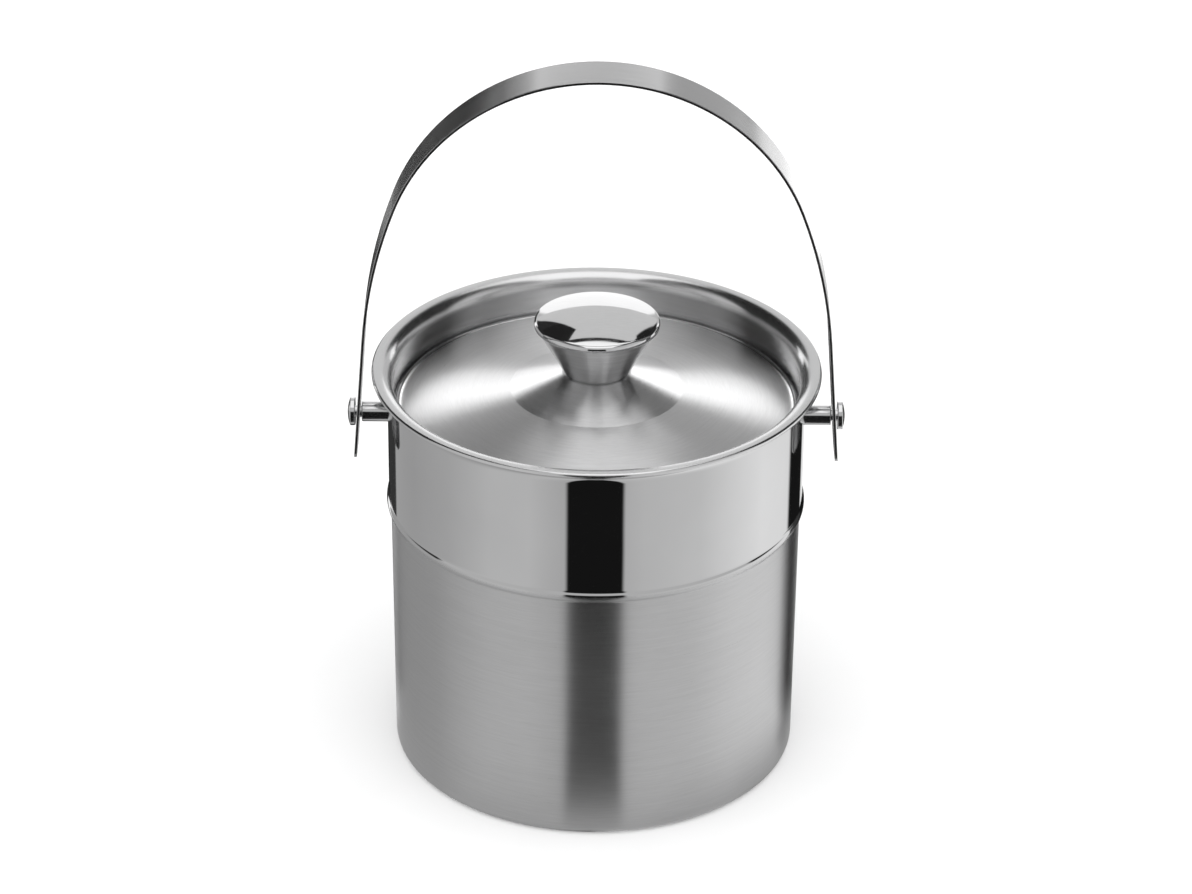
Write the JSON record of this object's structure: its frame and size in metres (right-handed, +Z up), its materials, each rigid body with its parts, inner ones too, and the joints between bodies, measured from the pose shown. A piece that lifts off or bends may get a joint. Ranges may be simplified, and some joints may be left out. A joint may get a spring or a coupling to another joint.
{
  "type": "ice bucket",
  "caption": "Double-walled round ice bucket with a drop-in conical lid, a flared knob and a tall strap handle that swings on side posts.",
  "frame": {"origin": "centre of the round foot, on the surface it stands on", "axes": "+Z up along the bucket's axis; the handle's pivots lie on the X axis; the front is -Y"},
  "size_m": [0.1666, 0.15, 0.2482],
  "materials": {
    "outer_wall": "satin, brushed round the body, with a mirror-polished band above the bead",
    "base_disc": "satin, turned",
    "inner_vessel": "satin, brushed round the wall, with a polished lip",
    "lid": "satin, brushed in circles",
    "knob_cone": "satin, turned",
    "knob_cap": "mirror polished",
    "handle_strap": "brightly polished with fine drawn lines",
    "pivot": "turned and polished",
    "hidden_steel": "plain steel fasteners"
  },
  "bodies": {
    "bucket": {"outer_wall": "outer_wall", "base_disc": "base_disc", "inner_vessel": "inner_vessel", "pivot_post_left": "pivot", "pivot_post_right": "pivot", "pivot_screw_left": "pivot", "pivot_screw_right": "pivot", "pivot_plate_left": "hidden_steel", "pivot_plate_right": "hidden_steel", "pivot_nut_left": "hidden_steel", "pivot_nut_right": "hidden_steel"},
    "lid": {"lid_disc": "lid", "knob_cone": "knob_cone", "knob_cap": "knob_cap", "knob_screw": "hidden_steel", "knob_washer": "hidden_steel"},
    "handle": {"handle_strap": "handle_strap"}
  },
  "joints": [
    {"name": "handle_swing", "type": "hinge", "parent": "bucket", "child": "handle", "pos_m": [0, 0, 0.1237], "axis": [1, 0, 0], "range_deg": [-140, 140]},
    {"name": "lid_lift", "type": "slide", "parent": "bucket", "child": "lid", "axis": [0, 0, 1], "range_m": [0, 0.06]}
  ]
}
